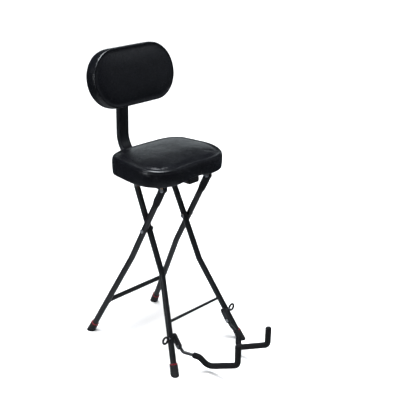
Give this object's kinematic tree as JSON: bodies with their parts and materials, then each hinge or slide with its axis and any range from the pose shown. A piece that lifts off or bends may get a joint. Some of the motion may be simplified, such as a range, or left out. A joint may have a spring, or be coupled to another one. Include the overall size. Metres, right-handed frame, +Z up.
{
  "type": "guitar stool",
  "caption": "Folding X-frame stool with a padded seat, a padded backrest on a flat post, and fold-out arms low in front that hold an upright guitar.",
  "frame": {"origin": "on the floor, under the middle of the whole object's bounding box, cradle arms included", "axes": "+Z up; the front of the stool, where the cradle arms are, faces -Y; left and right in the node names are as seen from the front, so left is -X"},
  "size_m": [0.3342, 0.5872, 0.9224],
  "materials": {
    "frame_black": "black powder coat, satin",
    "post_black": "black powder coat, satin",
    "bracket_black": "black paint, semi-gloss",
    "bolt_steel": "zinc plated, bright",
    "vinyl": "black vinyl, soft sheen",
    "board": "plywood, bare",
    "board_black": "plywood, dark backing",
    "rubber": "black rubber, matt",
    "ring_red": "dark red plastic",
    "nylon": "black nylon",
    "foam": "black foam sleeve, matt",
    "knob": "black plastic, fine grain",
    "spacer": "black nylon"
  },
  "bodies": {
    "rear_frame": {"rear_leg_left": "frame_black", "rear_leg_right": "frame_black", "rear_crossbar": "frame_black", "rear_foot_left": "rubber", "rear_foot_right": "rubber", "rear_foot_rings": "ring_red", "frame_pivot_bolts": "bolt_steel", "frame_pivot_nuts": "bolt_steel", "frame_pivot_spacers": "spacer", "seat_pivot_bolts": "bolt_steel", "seat_pivot_nuts": "bolt_steel"},
    "front_frame": {"front_leg_left": "frame_black", "front_leg_right": "frame_black", "front_top_bar": "frame_black", "front_crossbar": "frame_black", "front_foot_left": "rubber", "front_foot_right": "rubber", "front_foot_rings": "ring_red", "cradle_hinge_left": "bracket_black", "cradle_hinge_right": "bracket_black", "cradle_rivets": "bolt_steel"},
    "seat": {"seat_cushion": "vinyl", "seat_board": "board", "seat_screws": "bolt_steel", "pivot_bracket_left": "bracket_black", "pivot_bracket_right": "bracket_black", "bar_catch_left": "nylon", "bar_catch_right": "nylon", "post_receiver": "bracket_black", "clamp_nut": "bolt_steel"},
    "backrest": {"backrest_post": "post_black", "post_front_cap": "nylon", "post_top_cap": "nylon", "backrest_cushion": "vinyl", "backrest_board": "board_black", "backrest_bracket": "bracket_black", "backrest_screws": "bolt_steel", "backrest_bolts": "bolt_steel", "backrest_nuts": "bolt_steel"},
    "clamp": {"clamp_knob": "knob", "clamp_screw": "bolt_steel"},
    "left_cradle_arm": {"cradle_arm_left": "frame_black", "cradle_foam_left": "foam"},
    "right_cradle_arm": {"cradle_arm_right": "frame_black", "cradle_foam_right": "foam"},
    "left_lock_pin": {"lock_pin_left": "bolt_steel", "pull_ring_left": "nylon"},
    "right_lock_pin": {"lock_pin_right": "bolt_steel", "pull_ring_right": "nylon"}
  },
  "joints": [
    {"name": "leg_fold", "type": "hinge", "parent": "rear_frame", "child": "front_frame", "pos_m": [0, 0.07271, 0.3985], "axis": [1, 0, 0], "range_deg": [0, 44]},
    {"name": "seat_lift", "type": "hinge", "parent": "rear_frame", "child": "seat", "pos_m": [0, -0.00455, 0.548], "axis": [1, 0, 0], "range_deg": [0, 117.04]},
    {"name": "backrest_slide", "type": "slide", "parent": "seat", "child": "backrest", "axis": [0, 1, 0], "range_m": [0, 0.16]},
    {"name": "clamp_turn", "type": "hinge", "parent": "seat", "child": "clamp", "pos_m": [0, 0.03785, 0.545], "axis": [0, 0, 1], "range_deg": [0, 720]},
    {"name": "left_arm_fold", "type": "hinge", "parent": "front_frame", "child": "left_cradle_arm", "pos_m": [-0.1108, -0.08915, 0.074], "axis": [-1, 0, 0], "range_deg": [0, 90]},
    {"name": "right_arm_fold", "type": "hinge", "parent": "front_frame", "child": "right_cradle_arm", "pos_m": [0.1108, -0.08915, 0.074], "axis": [-1, 0, 0], "range_deg": [0, 90]},
    {"name": "left_pin_pull", "type": "slide", "parent": "front_frame", "child": "left_lock_pin", "axis": [-1, 0, 0], "range_m": [0, 0.007], "stiffness_N_per_m": 1200, "springref_m": -0.004},
    {"name": "right_pin_pull", "type": "slide", "parent": "front_frame", "child": "right_lock_pin", "axis": [1, 0, 0], "range_m": [0, 0.007], "stiffness_N_per_m": 1200, "springref_m": -0.004}
  ],
  "couplings": [
    {"joint": "seat_lift", "follows": "leg_fold", "ratio": 2.66}
  ]
}
